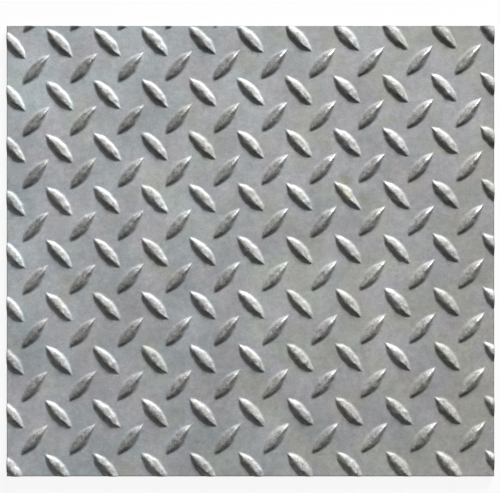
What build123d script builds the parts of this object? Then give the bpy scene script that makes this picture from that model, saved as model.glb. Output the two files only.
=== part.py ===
# Checker steel plate: a cut piece of hot rolled floor plate, one solid with its raised lugs.
# Millimetres. The plate lies flat: X along its length, Y along its width, Z up through its
# thickness. The origin is at the middle of the underside.

import os
from math import ceil, cos, hypot, radians, sin

from build123d import *

# The cut piece
plate_length = 330.0
plate_width = 305.0
base_thickness = 4.5
edge_break = 0.4

# One lug: a long lens, pointed at both ends, with a ridge along its middle
lug_length = 27.7
lug_width = 8.8
lug_height = 2.0
flank_bulge = 0.22
lug_root = 0.6

# The pattern: lugs in rows and columns, with a lug of the other hand in the middle of each four.
# The cut leaves it turned a little, and shifted along Y.
pitch_along = 32.7
pitch_across = 36.1
lug_angle = 47.5
pattern_turn = 0.88
pattern_shift = 0.5

# The pattern isn't quite square: its columns lean by skew degrees, and it draws in by these
# shares for each millimetre along X and Y
pattern_skew = -0.65
draw_in_x = -0.00006
draw_in_y = 0.00006

# The pointed outline is two arcs, so each flank is part of a shallow round dome.
# The dome of a flank stands on the far side of the ridge.
half_length = lug_length / 2
half_width = lug_width / 2
outline_radius = (half_length**2 + half_width**2) / lug_width
dome_reach = outline_radius - half_width

# A flank rises along an arc that stands proud of the straight line from rim to ridge
flank_chord = hypot(half_width, lug_height)
flank_radius = (flank_chord**2 / 4 + flank_bulge**2) / (2 * flank_bulge)
centre_drop = flank_radius - flank_bulge
arc_centre_r = outline_radius - half_width / 2 - centre_drop * lug_height / flank_chord
arc_centre_z = lug_height / 2 - centre_drop * half_width / flank_chord
dome_top = arc_centre_z + flank_radius

# The lug is what its two domes share, with a short root that sinks into the plate.
# It is made lying along X, with the plate's surface at zero.
with BuildPart() as lug:
    for side, joining in ((-1, Mode.ADD), (1, Mode.INTERSECT)):
        with BuildSketch(Plane.XZ.offset(-side * dome_reach)) as dome_half:
            with BuildLine():
                rim = (outline_radius, 0)
                crown = (arc_centre_r, dome_top)
                Polyline(crown, (0, dome_top), (0, -lug_root), (outline_radius, -lug_root), rim)
                RadiusArc(rim, crown, -flank_radius)
            make_face()
        revolve(axis=Axis((0, side * dome_reach, 0), (0, 0, 1)), mode=joining)


def lug_places():
    """Where each lug stands, and which way it lies, over a sheet larger than the piece."""
    turn = radians(pattern_turn)
    lean = radians(pattern_turn + pattern_skew)
    columns = ceil(plate_length / pitch_along / 2) + 1
    rows = ceil(plate_width / pitch_across / 2) + 1
    reach_x = (plate_length + lug_length) / 2
    reach_y = (plate_width + lug_length) / 2
    places = []
    for step, hand in ((0, -1), (0.5, 1)):
        for column in range(-columns, columns + 1):
            for row in range(-rows, rows + 1):
                along = (column + step) * pitch_along
                across = (row + step) * pitch_across
                x = along * cos(turn) - across * sin(lean)
                y = along * sin(turn) + across * cos(lean)
                narrowing = 1 + draw_in_x * x + draw_in_y * y
                x = x / narrowing
                y = y / narrowing + pattern_shift
                if abs(x) < reach_x and abs(y) < reach_y:
                    spin = hand * lug_angle + pattern_turn
                    places.append(Location((x, y, base_thickness), (0, 0, spin)))
    return places


# The rolled sheet is larger than the piece, so that the cut goes through the lugs at its edges
with BuildPart() as checker_plate:
    with BuildSketch():
        Rectangle(plate_length + lug_length, plate_width + lug_length)
    extrude(amount=base_thickness)
    with Locations(*lug_places()):
        add(lug.part)
    with BuildSketch():
        Rectangle(plate_length, plate_width)
    extrude(amount=base_thickness + 2 * lug_height, mode=Mode.INTERSECT)
    under_edges = checker_plate.faces().sort_by(Axis.Z)[0].edges()
    chamfer(under_edges, edge_break)

checker_plate.part.label = "checker_plate"
os.makedirs("parts", exist_ok=True)
export_step(checker_plate.part, "parts/checker_plate.step")
print("volume", round(checker_plate.part.volume), "mm3,", len(checker_plate.faces()), "faces")
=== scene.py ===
# Checker steel plate: a sheared piece of rolled plate with raised lugs and its mill finish.
import random
from math import ceil, cos, exp, hypot, pi, radians, sin, sqrt

import bmesh
import bpy
from mathutils import Matrix, Vector, noise


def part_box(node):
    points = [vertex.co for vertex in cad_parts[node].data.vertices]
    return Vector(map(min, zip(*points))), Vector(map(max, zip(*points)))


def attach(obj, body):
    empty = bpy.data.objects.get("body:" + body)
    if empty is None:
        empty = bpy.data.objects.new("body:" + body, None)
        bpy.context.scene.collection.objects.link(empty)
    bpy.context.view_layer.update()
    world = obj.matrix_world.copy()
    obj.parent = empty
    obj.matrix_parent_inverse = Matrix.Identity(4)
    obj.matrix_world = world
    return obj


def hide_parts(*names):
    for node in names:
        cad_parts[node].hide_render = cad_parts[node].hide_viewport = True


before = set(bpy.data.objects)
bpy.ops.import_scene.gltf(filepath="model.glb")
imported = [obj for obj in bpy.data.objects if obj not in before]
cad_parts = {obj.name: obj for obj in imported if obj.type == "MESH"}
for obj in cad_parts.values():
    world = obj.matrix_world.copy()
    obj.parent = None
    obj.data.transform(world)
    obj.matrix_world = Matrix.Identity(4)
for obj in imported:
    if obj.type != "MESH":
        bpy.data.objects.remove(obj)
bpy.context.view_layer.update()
plateLow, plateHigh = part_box("checker_plate")
print("frame loaded")

# The plate, in metres and degrees: its overall shape as the solid has it, and the lugs' finer relief
plateShape = {
    "baseThickness": 0.0045,
    "lugLength": 0.0277,
    "lugWidth": 0.0088,
    "flankBulge": 0.00018,     # how far a flank stands proud of the straight line up to the ridge
    "pitchAlong": 0.03273,
    "pitchAcross": 0.03614,
    "lugAngle": 47.5,
    "patternTurn": 0.88,
    "patternSkew": -0.65,      # how far the columns lean from square to the rows
    "patternShift": 0.0005,    # along Y
    "drawInX": -0.06,          # share by which the pattern draws in for each metre along X and Y
    "drawInY": 0.06,
    "footKick": 0.00028,       # a flank's last steep rise from its foot, on the near and the far side
    "farFootKick": 0.0001,
    "footReach": 0.00045,      # how far in from the rim that rise goes
    "footSoftness": 0.00015,
    "ridgeSoftness": 0.0005,   # the rolled ridge is rounded, in height
    "levelShare": 0.42,        # towards the high tip the ridge stays level this far, then falls straight
    "levelSoftness": 0.08,
    "tipLimit": 0.99,          # share of the half length where the sums stop, just short of the tip
    "crestSheenBand": 0.0006,       # half the width of the worn band on the ridge, which also carries a painted highlight
    "crestFade": 1.5,          # the band is gone at this many times that
    "crestFrom": 0.001,        # it starts this far from the middle, towards the high tip
    "crestFull": 0.005,
    "footMargin": 0.0011,      # flat rim of each lug's patch, outside its outline
    "segmentsAlong": 26,
    "segmentsAcross": 16,
    "tipCrowd": 0.3,           # how much the patch's lines draw together at the tips and at the ridge
    "ridgeCrowd": 0.25,
    "rollover": 0.0004,        # the shear drags the top corner down
    "rolloverSteps": 3,
    "burnish": 0.0017,         # height of the smooth upper part of the cut
    "fractureLean": 0.00015,   # how far the torn lower part of the cut leans in
    "edgeBreak": 0.0004,
    "sheetMargin": 0.03,       # the sheet reaches this far past the piece before it is cut
    "uprightSlope": 0.2,       # a face whose normal rises less than this counts as a side
    "mergeReach": 1e-7,        # points this close are one
    "rimSlack": 1e-6,          # how far a point may be off the cut, and a face off the side
    "sideSlack": 1e-5,
}

# The two hands of lug: over what share of the half length each tip dies away, how much the low tip is
# pinched in, and towards the high tip how hollow the near flank is, how far aside the ridge runs and
# how strongly its ridge is worn bright, partly real wear and partly a painted highlight. Waver is how far
# the ridge and rims wander.
lugHands = {
    -1: {"lowTip": 0.38, "highTip": 0.16, "pinched": 0.45, "hollow": 0.0, "ridgeAside": -0.0002,
         "rubbedSheen": 0.4, "waver": 0.0008},
    1: {"lowTip": 0.25, "highTip": 0.03, "pinched": 0.0, "hollow": 1.1, "ridgeAside": 0.0,
        "rubbedSheen": 1.0, "waver": 0.0003},
}

# How far the lugs differ from each other
lugWear = {
    "seed": 11,
    "turn": 1.0,
    "length": 0.02,
    "width": 0.04,
    "height": 0.06,
    "slide": 0.00015,
    "ridgeSlide": 0.0003,
    "dentDepth": 0.0001,
    "dentSize": 0.0024,
    "dentRise": 3,             # dents grow in from a lug's foot, and are full a third of the way up
    "waverSize": 0.0035,
}

# One lug that was struck: its lit flank is pushed in from the middle to the high tip
oddLug = {
    "place": (2, 1, -1),       # column, row and hand
    "from": 0.0005,
    "over": 0.003,
    "pushedIn": 0.38,
}


def smoothMin(a, b, softness):
    # The lower of two heights, with the corner where they cross rounded off
    blend = max(softness - abs(a - b), 0) / softness
    return min(a, b) - blend * blend * softness / 4


def smoothMax(a, b, softness):
    return -smoothMin(-a, -b, softness)


def softStep(share):
    share = min(max(share, 0), 1)
    return share * share * (3 - 2 * share)


# A lug's outline is two arcs, and each flank is part of a round dome on the far side of the ridge.
# The dome rises by what its soft ridge loses, and stands on the steep foot.
halfLength = plateShape["lugLength"] / 2
halfWidth = plateShape["lugWidth"] / 2
lugRise = plateHigh.z - plateShape["baseThickness"]
outlineRadius = (halfLength**2 + halfWidth**2) / (2 * halfWidth)
domeReach = outlineRadius - halfWidth
domeRise = lugRise + plateShape["ridgeSoftness"] / 4 - plateShape["footKick"]
flankChord = hypot(halfWidth, domeRise)
flankRadius = (flankChord**2 / 4 + plateShape["flankBulge"]**2) / (2 * plateShape["flankBulge"])
centreDrop = flankRadius - plateShape["flankBulge"]
arcInset = halfWidth / 2 + centreDrop * domeRise / flankChord
arcDepth = domeRise / 2 - centreDrop * halfWidth / flankChord


def flankHeight(inset, footKick):
    # Height of a flank at a distance in from its rim, below zero outside the rim
    across = min(inset, arcInset) - arcInset
    kick = footKick * (1 - exp(-max(inset, 0) / plateShape["footReach"]))
    return arcDepth + sqrt(flankRadius**2 - across**2) + kick


def lugHeightAt(x, y, hand):
    # Height of a lug that lies along X, with its high tip at positive X and its near flank at negative Y
    farFlank = flankHeight(outlineRadius - hypot(x, y + domeReach), plateShape["farFootKick"])
    nearFlank = flankHeight(outlineRadius - hypot(x, y - domeReach), plateShape["footKick"])
    along = min(max(x, 0) / halfLength, plateShape["tipLimit"])
    crest = smoothMin(1, (1 - along) / (1 - plateShape["levelShare"]), plateShape["levelSoftness"])
    fuller = crest / (1 - along**2)
    tipShare = lugHands[hand]["highTip" if x > 0 else "lowTip"]
    fuller *= softStep((1 - abs(x) / halfLength) / tipShare)
    height = smoothMin(farFlank * fuller, nearFlank * fuller, plateShape["ridgeSoftness"])
    top = lugRise * crest
    if y < 0 < height < top:
        height *= (height / top) ** (lugHands[hand]["hollow"] * softStep(2 * along))
    return smoothMax(height, 0, plateShape["footSoftness"])


def wornSheenAt(x, y):
    # How much a point belongs to the worn band on the ridge, which also carries a painted highlight
    along = (x - plateShape["crestFrom"]) / (plateShape["crestFull"] - plateShape["crestFrom"])
    return softStep(plateShape["crestFade"] - abs(y) / plateShape["crestSheenBand"]) * min(max(along, 0), 1)


def patchPoint(along, across):
    # Spreads a square grid over a lens a little larger than the lug
    patchWidth = halfWidth + plateShape["footMargin"]
    tipGrowth = plateShape["footMargin"] * outlineRadius / halfLength
    patchLength = halfLength + tipGrowth
    radius = (patchLength**2 + patchWidth**2) / (2 * patchWidth)
    tipCrowd = plateShape["tipCrowd"]
    ridgeCrowd = plateShape["ridgeCrowd"]
    x = patchLength * ((1 - tipCrowd) * along + tipCrowd * sin(along * pi / 2))
    edge = sqrt(max(radius**2 - x**2, 0)) - (radius - patchWidth)
    spread = (1 - ridgeCrowd) * across + ridgeCrowd * across**3
    return x, edge * spread


def lugPlaces():
    # Where each lug stands, over a sheet that is larger than the piece: rows and columns of one hand,
    # and the other hand in the middle of each four
    turn = radians(plateShape["patternTurn"])
    lean = radians(plateShape["patternTurn"] + plateShape["patternSkew"])
    reachX = plateHigh.x + halfLength
    reachY = plateHigh.y + halfLength
    columns = ceil(reachX / plateShape["pitchAlong"]) + 1
    rows = ceil(reachY / plateShape["pitchAcross"]) + 1
    places = []
    for step, hand in ((0, -1), (0.5, 1)):
        for column in range(-columns, columns + 1):
            for row in range(-rows, rows + 1):
                along = (column + step) * plateShape["pitchAlong"]
                across = (row + step) * plateShape["pitchAcross"]
                x = along * cos(turn) - across * sin(lean)
                y = along * sin(turn) + across * cos(lean)
                narrowing = 1 + plateShape["drawInX"] * x + plateShape["drawInY"] * y
                x = x / narrowing
                y = y / narrowing + plateShape["patternShift"]
                if abs(x) < reachX and abs(y) < reachY:
                    angle = hand * plateShape["lugAngle"] + plateShape["patternTurn"]
                    places.append((x, y, angle, hand, (column, row, hand) == oddLug["place"]))
    return places


def struck(x, y):
    # How far out a point of the struck lug lies, with its far flank pushed in
    share = min(max((x - oddLug["from"]) / oddLug["over"], 0), 1) if y > 0 else 0
    return y * (1 - oddLug["pushedIn"] * share)


def addLug(bm, crestSheenLayer, chance, x, y, angle, hand, odd):
    # One lug on its own patch of the plate's top
    grid = bmesh.ops.create_grid(bm, x_segments=plateShape["segmentsAlong"],
                                 y_segments=plateShape["segmentsAcross"], size=1.0)
    slide = lugWear["slide"]
    turned = Matrix.Rotation(radians(angle + chance.uniform(-1, 1) * lugWear["turn"]), 4, "Z")
    centre = Vector((x + chance.uniform(-slide, slide), y + chance.uniform(-slide, slide), 0))
    place = Matrix.Translation(centre) @ turned
    longer = 1 + chance.uniform(-1, 1) * lugWear["length"]
    wider = 1 + chance.uniform(-1, 1) * lugWear["width"]
    taller = 1 - chance.random() * lugWear["height"]
    ridgeSlide = chance.uniform(-1, 1) * lugWear["ridgeSlide"]
    for vert in grid["verts"]:
        px, py = patchPoint(vert.co.x, vert.co.y)
        towardsHighTip = softStep(2 * px / halfLength)
        towardsLowTip = softStep(-2 * px / halfLength - 1)
        waverPlace = Vector((px, py, angle + x + y)) / lugWear["waverSize"]
        wavered = py + noise.noise(waverPlace) * lugHands[hand]["waver"]
        pinch = 1 - lugHands[hand]["pinched"] * towardsLowTip
        height = lugHeightAt(px, wavered / pinch, hand)
        # The worn ridge band, which also carries a painted highlight
        vert[crestSheenLayer] = wornSheenAt(px, wavered) * lugHands[hand]["rubbedSheen"]
        share = height / lugRise
        if odd:
            py = struck(px, py)
        slid = ridgeSlide + lugHands[hand]["ridgeAside"] * towardsHighTip
        spot = place @ Vector((px * longer, py * wider + slid * share, 0))
        dent = noise.noise(spot / lugWear["dentSize"]) * lugWear["dentDepth"]
        height = height * taller + dent * min(share * lugWear["dentRise"], 1)
        vert.co = Vector((spot.x, spot.y, plateShape["baseThickness"] + min(height, lugRise)))


def buildPlate():
    # The top of the plate, cut to size
    bm = bmesh.new()
    chance = random.Random(lugWear["seed"])
    crestSheenLayer = bm.verts.layers.float.new("crest")
    places = lugPlaces()
    for place in places:
        addLug(bm, crestSheenLayer, chance, *place)
    bmesh.ops.remove_doubles(bm, verts=bm.verts, dist=plateShape["mergeReach"])
    for face in bm.faces:
        face.smooth = True
    print("lugs made:", len(places))

    # The flats between the lugs
    sheet = bmesh.ops.create_grid(bm, x_segments=1, y_segments=1, size=1.0)
    for vert in sheet["verts"]:
        vert.co.x *= plateHigh.x + plateShape["sheetMargin"]
        vert.co.y *= plateHigh.y + plateShape["sheetMargin"]
        vert.co.z = plateShape["baseThickness"]
    bmesh.ops.delete(bm, geom=sheet["verts"][0].link_faces[:], context="FACES_ONLY")
    openEdges = [edge for edge in bm.edges if len(edge.link_faces) < 2]
    bmesh.ops.triangle_fill(bm, edges=openEdges, normal=(0, 0, 1))

    # The four cuts, a little inside the piece's size to leave room for the rolled over corner
    for side in (-1, 1):
        for axis, reach in ((Vector((1, 0, 0)), plateHigh.x), (Vector((0, 1, 0)), plateHigh.y)):
            bmesh.ops.bisect_plane(bm, geom=bm.verts[:] + bm.edges[:] + bm.faces[:],
                                   dist=plateShape["mergeReach"],
                                   plane_co=axis * side * (reach - plateShape["rollover"]),
                                   plane_no=axis * side, clear_outer=True)
    return bm


def stepRim(bm, edges, insetBefore, insetAfter, heightAt):
    # Extrudes the open rim once, moves its new points in or out, and sets their height
    grown = bmesh.ops.extrude_edge_only(bm, edges=edges)
    verts = [item for item in grown["geom"] if isinstance(item, bmesh.types.BMVert)]
    for vert in verts:
        for axis, reach in ((0, plateHigh.x), (1, plateHigh.y)):
            if abs(vert.co[axis]) > reach - insetBefore - plateShape["rimSlack"]:
                vert.co[axis] = (reach - insetAfter) * (1 if vert.co[axis] > 0 else -1)
        vert.co.z = heightAt(vert.co)
    return [item for item in grown["geom"] if isinstance(item, bmesh.types.BMEdge)]


def closePlate(bm):
    # The sheared sides: a rolled over corner, a smooth band, a torn band that leans in, and the underside
    rollover = plateShape["rollover"]
    edgeBreak = plateShape["edgeBreak"]
    lean = plateShape["fractureLean"]
    stepTurn = pi / (2 * plateShape["rolloverSteps"])
    rim = [edge for edge in bm.edges if edge.is_boundary]
    inset = rollover
    for step in range(1, plateShape["rolloverSteps"] + 1):
        turn = step * stepTurn
        drop = rollover * (cos(turn - stepTurn) - cos(turn))
        nextInset = rollover * (1 - sin(turn))
        rim = stepRim(bm, rim, inset, nextInset, lambda co: co.z - drop)
        inset = nextInset
    rim = stepRim(bm, rim, 0, 0, lambda co: plateShape["baseThickness"] - plateShape["burnish"])
    rim = stepRim(bm, rim, 0, lean, lambda co: edgeBreak)
    rim = stepRim(bm, rim, lean, edgeBreak, lambda co: 0)
    bmesh.ops.contextual_create(bm, geom=rim)
    bmesh.ops.recalc_face_normals(bm, faces=bm.faces)
    for face in bm.faces:
        if face.normal.z < plateShape["uprightSlope"]:
            face.smooth = False


plateBm = buildPlate()
closePlate(plateBm)
plateMesh = bpy.data.meshes.new("steelPlate")
plateBm.to_mesh(plateMesh)
plateBm.free()
plate = bpy.data.objects.new("steelPlate", plateMesh)
bpy.context.collection.objects.link(plate)
print("plate made:", len(plateMesh.polygons), "faces")


# Nodes that the finishes share
def setOrLink(tree, socket, value):
    if isinstance(value, bpy.types.NodeSocket):
        tree.links.new(value, socket)
    else:
        socket.default_value = value


def mathNode(tree, operation, first, second=0.0, third=0.0):
    node = tree.nodes.new("ShaderNodeMath")
    node.operation = operation
    for socket, value in zip(node.inputs, (first, second, third)):
        setOrLink(tree, socket, value)
    return node.outputs["Value"]


def product(tree, first, *others):
    for other in others:
        first = mathNode(tree, "MULTIPLY", first, other)
    return first


def multiplyAdd(tree, value, factor, added):
    return mathNode(tree, "MULTIPLY_ADD", value, factor, added)


def weighted(tree, first, firstShare, second, secondShare):
    return multiplyAdd(tree, first, firstShare, product(tree, second, secondShare))


def rangeNode(tree, value, low, high, toLow=0.0, toHigh=1.0, smooth=False):
    # Takes a value from one range to another, and holds it at the ends
    node = tree.nodes.new("ShaderNodeMapRange")
    if smooth:
        node.interpolation_type = "SMOOTHSTEP"
    tree.links.new(value, node.inputs["Value"])
    for label, setting in (("From Min", low), ("From Max", high), ("To Min", toLow), ("To Max", toHigh)):
        setOrLink(tree, node.inputs[label], setting)
    return node.outputs["Result"]


def between(tree, share, none, full):
    # Goes from one value to another as a share goes from 0 to 1
    return rangeNode(tree, share, 0.0, 1.0, none, full)


def mixNode(tree, factor, first, second, blend="MIX"):
    node = tree.nodes.new("ShaderNodeMix")
    node.data_type = "RGBA"
    node.blend_type = blend
    setOrLink(tree, node.inputs["Factor"], factor)
    setOrLink(tree, node.inputs["A"], first)
    setOrLink(tree, node.inputs["B"], second)
    return node.outputs["Result"]


def noiseNode(tree, vector, scale, detail, roughness):
    node = tree.nodes.new("ShaderNodeTexNoise")
    node.inputs["Detail"].default_value = detail
    node.inputs["Roughness"].default_value = roughness
    tree.links.new(vector, node.inputs["Vector"])
    setOrLink(tree, node.inputs["Scale"], scale)
    return node.outputs


def splitNode(tree, kind, source):
    # Kind is Color or XYZ
    node = tree.nodes.new("ShaderNodeSeparate" + kind)
    tree.links.new(source, node.inputs[0])
    return node.outputs


def scaledBy(tree, vector, factor):
    # Works on places and on colours
    node = tree.nodes.new("ShaderNodeVectorMath")
    node.operation = "SCALE"
    tree.links.new(vector, node.inputs[0])
    setOrLink(tree, node.inputs["Scale"], factor)
    return node.outputs["Vector"]


def stretched(tree, vector, scale):
    # A pattern that reads this is long where its scale is small
    node = tree.nodes.new("ShaderNodeMapping")
    node.inputs["Scale"].default_value = scale
    tree.links.new(vector, node.inputs["Vector"])
    return node.outputs["Vector"]


def bumpNode(tree, height):
    # Takes a height in metres
    node = tree.nodes.new("ShaderNodeBump")
    node.inputs["Distance"].default_value = 1.0
    node.inputs["Strength"].default_value = 1.0
    tree.links.new(height, node.inputs["Height"])
    return node.outputs["Normal"]


def newGroup(name, inputs, outputs):
    group = bpy.data.node_groups.new(name, "ShaderNodeTree")
    for label, kind in inputs:
        group.interface.new_socket(name=label, in_out="INPUT", socket_type=kind)
    for label, kind in outputs:
        group.interface.new_socket(name=label, in_out="OUTPUT", socket_type=kind)
    given = group.nodes.new("NodeGroupInput").outputs
    result = group.nodes.new("NodeGroupOutput").inputs
    return group, given, result


def placeGroup(tree, group, vector, **settings):
    node = tree.nodes.new("ShaderNodeGroup")
    node.node_tree = group
    tree.links.new(vector, node.inputs["Vector"])
    for label, value in settings.items():
        node.inputs[label].default_value = value
    return node.outputs


# The fine uneven skin that the rolls leave: a height for bump, and a tone of its own
skin = {
    "detail": 2.0,
    "roughness": 0.6,
    "coarseHeight": 0.6,
    "fineHeight": 0.4,
    "coarseTone": 0.45,
    "fineTone": 0.55,
    "toneLow": 0.3,
    "toneHigh": 0.7,
}


def grainGroup():
    group, given, result = newGroup("rolledGrain", [
        ("Vector", "NodeSocketVector"),
        ("Fine", "NodeSocketFloat"),
        ("Coarse", "NodeSocketFloat"),
    ], [("Height", "NodeSocketFloat"), ("Tone", "NodeSocketFloat")])
    layers = []
    for size in ("Fine", "Coarse"):
        layer = noiseNode(group, given["Vector"], given[size], skin["detail"], skin["roughness"])
        layers.append(splitNode(group, "Color", layer["Color"]))
    fine, coarse = layers
    height = weighted(group, coarse["Red"], skin["coarseHeight"], fine["Red"], skin["fineHeight"])
    group.links.new(height, result["Height"])
    tone = weighted(group, coarse["Green"], skin["coarseTone"], fine["Green"], skin["fineTone"])
    group.links.new(rangeNode(group, tone, skin["toneLow"], skin["toneHigh"]), result["Tone"])
    return group


# Soft blotches of two sizes, and two slow tints that cross them
blotch = {
    "wideScale": 16.0,
    "wideShare": 0.6,
    "smallScale": 60.0,
    "smallShare": 0.4,
    "tintScale": 42.0,
    "toneRange": (0.32, 0.68),
    "coolRange": (0.44, 0.56),
    "roseRange": (0.45, 0.57),
}


def blotchGroup():
    group, given, result = newGroup("millBlotches", [
        ("Vector", "NodeSocketVector"),
        ("Size", "NodeSocketFloat"),
    ], [("Tone", "NodeSocketFloat"), ("Cool", "NodeSocketFloat"), ("Rose", "NodeSocketFloat")])
    spot = scaledBy(group, given["Vector"], given["Size"])
    wide = noiseNode(group, spot, blotch["wideScale"], detail=2.0, roughness=0.55)["Fac"]
    small = noiseNode(group, spot, blotch["smallScale"], detail=3.0, roughness=0.55)["Fac"]
    tone = weighted(group, wide, blotch["wideShare"], small, blotch["smallShare"])
    group.links.new(rangeNode(group, tone, *blotch["toneRange"]), result["Tone"])
    tint = noiseNode(group, spot, blotch["tintScale"], detail=2.0, roughness=0.5)["Color"]
    tints = splitNode(group, "Color", tint)
    group.links.new(rangeNode(group, tints["Red"], *blotch["coolRange"], smooth=True), result["Cool"])
    group.links.new(rangeNode(group, tints["Green"], *blotch["roseRange"], smooth=True), result["Rose"])
    return group


rolledGrain = grainGroup()
millBlotches = blotchGroup()


def newFinish(name):
    # A material with its shader, and the plate's own coordinates as a vector and split in three
    material = bpy.data.materials.new(name)
    material.use_nodes = True
    tree = material.node_tree
    spot = tree.nodes.new("ShaderNodeTexCoord").outputs["Object"]
    return material, tree, tree.nodes["Principled BSDF"], spot, splitNode(tree, "XYZ", spot)


# The plate's top and underside, as rolled. Where a value has two, the lugs have their own.
millSteel = {
    "flatColour": (0.585, 0.583, 0.585, 1),
    "lugColour": (0.44, 0.437, 0.422, 1),
    "flatRoughness": 0.67,
    "lugRoughness": 0.74,
    "flatMetallic": 0.65,
    "lugMetallic": 0.97,
    "flatGrain": 0.35,
    "lugGrain": 0.95,
    "flatBump": 0.00007,
    "lugBump": 0.00035,
    "undersideBump": 0.2,      # share of the flats' bump
    "maskFrom": 0.0001,        # height over the flats where the lugs' finish starts, and where it is full
    "maskFull": 0.0013,
    "fineGrain": 850.0,
    "coarseGrain": 270.0,
    # The worn ridge band is near white: partly bright worn metal, partly a painted highlight
    "crestSheenColour": (0.9, 0.9, 0.89, 1),
    "crestRoughness": 0.38,
    "wornRange": (0.1, 0.5),   # the grain's tones over which the rubbed band breaks up
    "leftTint": (0.965, 1.0, 1.01, 1),
    "leftFade": 0.85,          # how much of the left's tints is gone at the right
    "greenTint": (0.945, 0.985, 0.975, 1),
    "blueTint": (0.955, 0.985, 1.02, 1),
    "roseTint": (1.0, 0.955, 1.0, 1),
    "roseShare": 0.6,
    "lugTinted": 0.25,         # how much of the flats' tints the lugs take
    "oliveTint": (0.945, 0.945, 0.865, 1),
    "dirtScale": 38.0,
    "dirtFront": 0.6,          # how much of the dirt at the right is gone at the back
    "dirtGather": 0.2,         # how strongly the corner draws it in
    "dirtRange": (0.55, 0.7),
    "stainTint": (0.87, 0.87, 0.76, 1),
    "stainScale": 130.0,
    "stains": (                # x, y, size and raggedness
        (0.0655, 0.0478, 0.0065, 0.02),
        (0.0757, 0.0371, 0.0065, 0.02),
    ),
    "smear": (0.0655, 0.0385, 0.007, 0.012),
    "smearColour": (0.66, 0.65, 0.56, 1),
    "smearShare": 0.7,
    "blotchSize": 1.0,
    "blotchDepth": 0.32,
    "streakDepth": 0.04,
    "streakScale": 30.0,
    "streakStretch": (1.0, 9.0, 9.0),
    "streakRange": (0.3, 0.7),
    # painted shade: a thin darker line along the cut edges
    "edgeShade": 0.5,
    "edgeWidth": 0.001,
    "paintedLightRight": -0.13,        # painted light and shade: the flats' tone at the right and back edges, against the middle
    "paintedLightBack": -0.1,
    # the same painted light and shade on the lugs
    "lugPaintedLightRight": 0.03,
    "lugPaintedLightBack": -0.19,
    "roughGrain": 0.1,         # what the grain and the dirt add to the roughness
    "roughDirt": 0.06,
    "metalDirt": -0.1,
}


def blotchAt(tree, spot, x, y, size, ragged):
    # A ragged round patch at a place on the plate's top
    away = tree.nodes.new("ShaderNodeVectorMath")
    away.operation = "DISTANCE"
    tree.links.new(spot, away.inputs[0])
    away.inputs[1].default_value = (x, y, plateShape["baseThickness"])
    uneven = noiseNode(tree, spot, millSteel["stainScale"], detail=5.0, roughness=0.7)["Fac"]
    reach = multiplyAdd(tree, uneven, ragged, away.outputs["Value"])
    return rangeNode(tree, reach, size + ragged / 2, ragged / 2, smooth=True)


def rubbedCrestSheen(tree, grain, lugMask):
    # The worn band on the ridges, lightened into a painted highlight, broken up by the grain
    crest = tree.nodes.new("ShaderNodeAttribute")
    crest.attribute_name = "crest"
    worn = rangeNode(tree, grain["Tone"], *millSteel["wornRange"])
    return product(tree, crest.outputs["Fac"], lugMask, worn)


def cornerDirt(tree, spot, across, down):
    # Patches of dirt that gather towards the lower right
    patches = noiseNode(tree, spot, millSteel["dirtScale"], detail=3.0, roughness=0.55)["Fac"]
    front = millSteel["dirtFront"]
    corner = product(tree, across, multiplyAdd(tree, down, front, 1 - front))
    gathered = multiplyAdd(tree, corner, millSteel["dirtGather"], patches)
    return rangeNode(tree, gathered, *millSteel["dirtRange"], smooth=True)


def millColour(tree, spot, across, lugMask, blotches, crest, dirt):
    # Cool green and blue on the left, rose in patches, olive dirt, and the stains by the struck lug
    colour = mixNode(tree, lugMask, millSteel["flatColour"], millSteel["lugColour"])
    # The worn ridge band, lightened into a painted highlight
    colour = mixNode(tree, crest, colour, millSteel["crestSheenColour"])
    left = multiplyAdd(tree, across, -millSteel["leftFade"], 1.0)
    green = product(tree, blotches["Cool"], left)
    rose = product(tree, blotches["Rose"], millSteel["roseShare"])
    blue = product(tree, mathNode(tree, "SUBTRACT", 1.0, blotches["Rose"]), left)
    tinted = between(tree, lugMask, 1.0, millSteel["lugTinted"])
    for mask, tint in ((left, "leftTint"), (green, "greenTint"), (rose, "roseTint"),
                       (blue, "blueTint"), (dirt, "oliveTint")):
        colour = mixNode(tree, product(tree, mask, tinted), colour, millSteel[tint], "MULTIPLY")
    for stain in millSteel["stains"]:
        mask = blotchAt(tree, spot, *stain)
        colour = mixNode(tree, mask, colour, millSteel["stainTint"], "MULTIPLY")
    smear = product(tree, blotchAt(tree, spot, *millSteel["smear"]), lugMask, millSteel["smearShare"])
    return mixNode(tree, smear, colour, millSteel["smearColour"])


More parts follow.
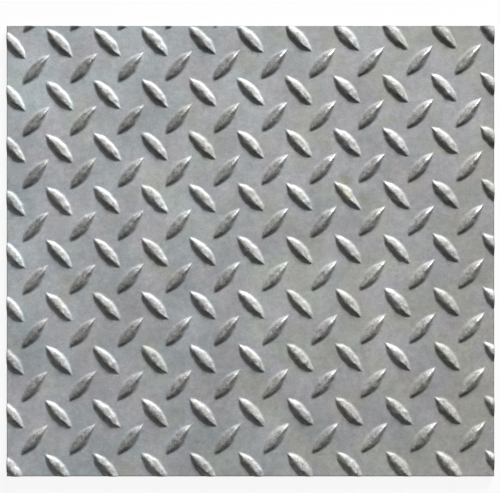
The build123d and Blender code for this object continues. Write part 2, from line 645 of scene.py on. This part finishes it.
def millTone(tree, spot, axes, lugMask, blotches, unevenness):
    # Slow blotches, streaks along the rolling, grain, a painted line of shade along the rolled over corner,
    # and painted light and shade that change the tone over the plate
    depth = millSteel["blotchDepth"]
    slow = between(tree, blotches["Tone"], 1 - depth / 2, 1 + depth / 2)
    long = stretched(tree, spot, millSteel["streakStretch"])
    streaks = noiseNode(tree, long, millSteel["streakScale"], detail=3.0, roughness=0.6)["Fac"]
    depth = millSteel["streakDepth"]
    streaks = rangeNode(tree, streaks, *millSteel["streakRange"], 1 - depth / 2, 1 + depth / 2)
    grainDepth = between(tree, lugMask, millSteel["flatGrain"], millSteel["lugGrain"])
    speckle = multiplyAdd(tree, unevenness, grainDepth, 1.0)
    # A painted line of shade along the cut edges
    inX = mathNode(tree, "SUBTRACT", plateHigh.x, mathNode(tree, "ABSOLUTE", axes["X"]))
    inY = mathNode(tree, "SUBTRACT", plateHigh.y, mathNode(tree, "ABSOLUTE", axes["Y"]))
    fromEdge = mathNode(tree, "MINIMUM", inX, inY)
    edge = rangeNode(tree, fromEdge, 0.0, millSteel["edgeWidth"], millSteel["edgeShade"], 1.0)
    # Painted light and shade: the tone falls or rises towards the right and the back
    level = 1.0
    for axis, reach, flats, lugs in (("X", plateHigh.x, "paintedLightRight", "lugPaintedLightRight"),
                                     ("Y", plateHigh.y, "paintedLightBack", "lugPaintedLightBack")):
        change = between(tree, lugMask, millSteel[flats], millSteel[lugs])
        level = multiplyAdd(tree, mathNode(tree, "DIVIDE", axes[axis], reach), change, level)
    return product(tree, slow, streaks, speckle, edge, level)


def makeMillSteel():
    material, tree, shader, spot, axes = newFinish("millSteel")
    base = plateShape["baseThickness"]
    lugMask = rangeNode(tree, axes["Z"], base + millSteel["maskFrom"], base + millSteel["maskFull"],
                        smooth=True)
    across = rangeNode(tree, axes["X"], plateLow.x, plateHigh.x)
    down = rangeNode(tree, axes["Y"], plateHigh.y, plateLow.y)
    grain = placeGroup(tree, rolledGrain, spot, Fine=millSteel["fineGrain"], Coarse=millSteel["coarseGrain"])
    blotches = placeGroup(tree, millBlotches, spot, Size=millSteel["blotchSize"])
    unevenness = mathNode(tree, "SUBTRACT", grain["Tone"], 0.5)
    crest = rubbedCrestSheen(tree, grain, lugMask)
    dirt = cornerDirt(tree, spot, across, down)
    colour = millColour(tree, spot, across, lugMask, blotches, crest, dirt)
    tone = millTone(tree, spot, axes, lugMask, blotches, unevenness)
    tree.links.new(scaledBy(tree, colour, tone), shader.inputs["Base Color"])

    rough = between(tree, lugMask, millSteel["flatRoughness"], millSteel["lugRoughness"])
    rough = multiplyAdd(tree, unevenness, millSteel["roughGrain"], rough)
    rough = multiplyAdd(tree, dirt, millSteel["roughDirt"], rough)
    rough = between(tree, crest, rough, millSteel["crestRoughness"])
    tree.links.new(rough, shader.inputs["Roughness"])
    metal = between(tree, lugMask, millSteel["flatMetallic"], millSteel["lugMetallic"])
    metal = multiplyAdd(tree, dirt, millSteel["metalDirt"], metal)
    tree.links.new(metal, shader.inputs["Metallic"])
    reach = between(tree, lugMask, millSteel["flatBump"], millSteel["lugBump"])
    top = rangeNode(tree, axes["Z"], 0.0, base, millSteel["undersideBump"], 1.0)
    height = product(tree, grain["Height"], reach, top)
    tree.links.new(bumpNode(tree, height), shader.inputs["Normal"])
    return material


# The cut sides: smooth and scored upright where the blade cut, dull and torn below
shearedEdge = {
    "burnishColour": (0.5, 0.5, 0.5, 1),
    "fractureColour": (0.3, 0.295, 0.285, 1),
    "burnishRoughness": 0.38,
    "fractureRoughness": 0.72,
    "metallic": 0.85,
    "fineGrain": 1500.0,
    "coarseGrain": 600.0,
    "grainTone": (0.9, 1.08),
    "blotchSize": 2.0,
    "blotchTone": (0.86, 1.12),
    "ragged": 0.0014,          # how far the line between the two wanders
    "raggedScale": 140.0,
    "lineSoftness": 0.0002,
    "scoreScale": 1600.0,
    "scoreStretch": (1.0, 1.0, 0.06),
    "scoreBump": 0.00012,
    "tornBump": 0.0005,
}


def makeShearedEdge():
    material, tree, shader, spot, axes = newFinish("shearedEdge")
    shader.inputs["Metallic"].default_value = shearedEdge["metallic"]
    grain = placeGroup(tree, rolledGrain, spot, Fine=shearedEdge["fineGrain"],
                       Coarse=shearedEdge["coarseGrain"])
    blotches = placeGroup(tree, millBlotches, spot, Size=shearedEdge["blotchSize"])
    wander = noiseNode(tree, spot, shearedEdge["raggedScale"], detail=3.0, roughness=0.6)["Fac"]
    wander = mathNode(tree, "SUBTRACT", wander, 0.5)
    line = multiplyAdd(tree, wander, shearedEdge["ragged"] * 2, axes["Z"])
    cut = plateShape["baseThickness"] - plateShape["burnish"]
    soft = shearedEdge["lineSoftness"]
    torn = rangeNode(tree, line, cut + soft, cut - soft, smooth=True)
    colour = mixNode(tree, torn, shearedEdge["burnishColour"], shearedEdge["fractureColour"])
    tone = between(tree, blotches["Tone"], *shearedEdge["blotchTone"])
    speckle = between(tree, grain["Tone"], *shearedEdge["grainTone"])
    tree.links.new(scaledBy(tree, colour, product(tree, tone, speckle)), shader.inputs["Base Color"])
    rough = between(tree, torn, shearedEdge["burnishRoughness"], shearedEdge["fractureRoughness"])
    tree.links.new(rough, shader.inputs["Roughness"])
    upright = stretched(tree, spot, shearedEdge["scoreStretch"])
    scores = noiseNode(tree, upright, shearedEdge["scoreScale"], detail=2.0, roughness=0.6)["Fac"]
    scoreDepth = between(tree, torn, shearedEdge["scoreBump"], 0.0)
    tornDepth = between(tree, torn, 0.0, shearedEdge["tornBump"])
    height = weighted(tree, grain["Height"], tornDepth, scores, scoreDepth)
    tree.links.new(bumpNode(tree, height), shader.inputs["Normal"])
    return material


def isCutSide(face):
    # The extruded faces of the four sides, but not the steep parts of a lug that was cut through
    upright = abs(face.normal.z) < plateShape["uprightSlope"] and len(face.vertices) > 3
    low = face.center.z < plateShape["baseThickness"]
    outer = max(abs(face.center.x) - plateHigh.x, abs(face.center.y) - plateHigh.y)
    return upright and low and outer > -plateShape["fractureLean"] - plateShape["sideSlack"]


plateMesh.materials.append(makeMillSteel())
plateMesh.materials.append(makeShearedEdge())
for face in plateMesh.polygons:
    if isCutSide(face):
        face.material_index = 1
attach(plate, "root")
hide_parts("checker_plate")
print("finishes made")

# Camera: straight down, with the whole plate where it lies in the picture, in pixels
viewPlan = {
    "pictureWidth": 500,
    "pictureHeight": 493,
    "plateLeft": 6.7,
    "plateRight": 494.3,
    "plateTop": 25.3,
    "plateBottom": 476.9,
    "lens": 100,
    "sensor": 36,
    "clipEnd": 20,
}
pixelSize = (plateHigh.x - plateLow.x) / (viewPlan["plateRight"] - viewPlan["plateLeft"])
pixelsAside = (viewPlan["pictureWidth"] - viewPlan["plateLeft"] - viewPlan["plateRight"]) / 2
pixelsAbove = (viewPlan["plateTop"] + viewPlan["plateBottom"] - viewPlan["pictureHeight"]) / 2
viewDistance = viewPlan["pictureWidth"] * pixelSize * viewPlan["lens"] / viewPlan["sensor"]
cameraData = bpy.data.cameras.new("camera")
cameraData.lens = viewPlan["lens"]
cameraData.sensor_width = viewPlan["sensor"]
cameraData.clip_end = viewPlan["clipEnd"]
camera = bpy.data.objects.new("camera", cameraData)
camera.location = (pixelsAside * pixelSize, pixelsAbove * pixelSize,
                   plateShape["baseThickness"] + viewDistance)
bpy.context.collection.objects.link(camera)
bpy.context.scene.camera = camera

# Lights: one low soft key from the upper right, a little from overhead and from the left.
# Each is a round lamp that looks spread degrees wide.
lamps = {
    "key": {"azimuth": 68, "elevation": 21.5, "distance": 2.2, "spread": 19, "strength": 5.9},
    "top": {"azimuth": 0, "elevation": 90, "distance": 2.2, "spread": 40, "strength": 0.18},
    "fill": {"azimuth": 200, "elevation": 35, "distance": 1.8, "spread": 40, "strength": 0.14},
}
sky = {
    "colour": (1, 1, 1, 1),
    "strength": 0.02,
}


def addSoftLamp(name, azimuth, elevation, distance, spread, strength):
    data = bpy.data.lights.new(name, "AREA")
    data.shape = "DISK"
    data.size = 2 * distance * sin(radians(spread / 2))
    data.energy = strength * pi * distance**2
    lamp = bpy.data.objects.new(name, data)
    level = cos(radians(elevation)) * distance
    lamp.location = (cos(radians(azimuth)) * level, sin(radians(azimuth)) * level,
                     sin(radians(elevation)) * distance)
    lamp.rotation_euler = lamp.location.to_track_quat("Z", "Y").to_euler()
    bpy.context.collection.objects.link(lamp)


for name, plan in lamps.items():
    addSoftLamp(name, **plan)
world = bpy.data.worlds.new("world")
bpy.context.scene.world = world
world.use_nodes = True
background = world.node_tree.nodes["Background"]
background.inputs["Color"].default_value = sky["colour"]
background.inputs["Strength"].default_value = sky["strength"]

# Floor: a white paper that still takes a faint shadow
paper = {
    "size": 6.0,
    "colour": (0.95, 0.95, 0.95, 1),
    "roughness": 0.9,
    "shadowShare": 0.09,
}
floorBm = bmesh.new()
bmesh.ops.create_grid(floorBm, x_segments=1, y_segments=1, size=paper["size"] / 2)
floorMesh = bpy.data.meshes.new("floor")
floorBm.to_mesh(floorMesh)
floorBm.free()
floor = bpy.data.objects.new("floor", floorMesh)
bpy.context.collection.objects.link(floor)


def makePaper():
    # Mostly a plain white glow where it is seen, so that only a little of the shadow shows
    material = bpy.data.materials.new("paleFloor")
    material.use_nodes = True
    tree = material.node_tree
    shader = tree.nodes["Principled BSDF"]
    shader.inputs["Base Color"].default_value = paper["colour"]
    shader.inputs["Roughness"].default_value = paper["roughness"]
    path = tree.nodes.new("ShaderNodeLightPath")
    seen = mathNode(tree, "MAXIMUM", path.outputs["Is Camera Ray"], path.outputs["Is Glossy Ray"])
    seen = mathNode(tree, "MAXIMUM", seen, path.outputs["Is Transmission Ray"])
    glow = tree.nodes.new("ShaderNodeEmission")
    mix = tree.nodes.new("ShaderNodeMixShader")
    tree.links.new(product(tree, seen, 1 - paper["shadowShare"]), mix.inputs["Fac"])
    tree.links.new(shader.outputs["BSDF"], mix.inputs[1])
    tree.links.new(glow.outputs["Emission"], mix.inputs[2])
    tree.links.new(mix.outputs["Shader"], tree.nodes["Material Output"].inputs["Surface"])
    return material


floorMesh.materials.append(makePaper())
bpy.context.scene.view_settings.view_transform = "Standard"
print("camera, lights and floor made")
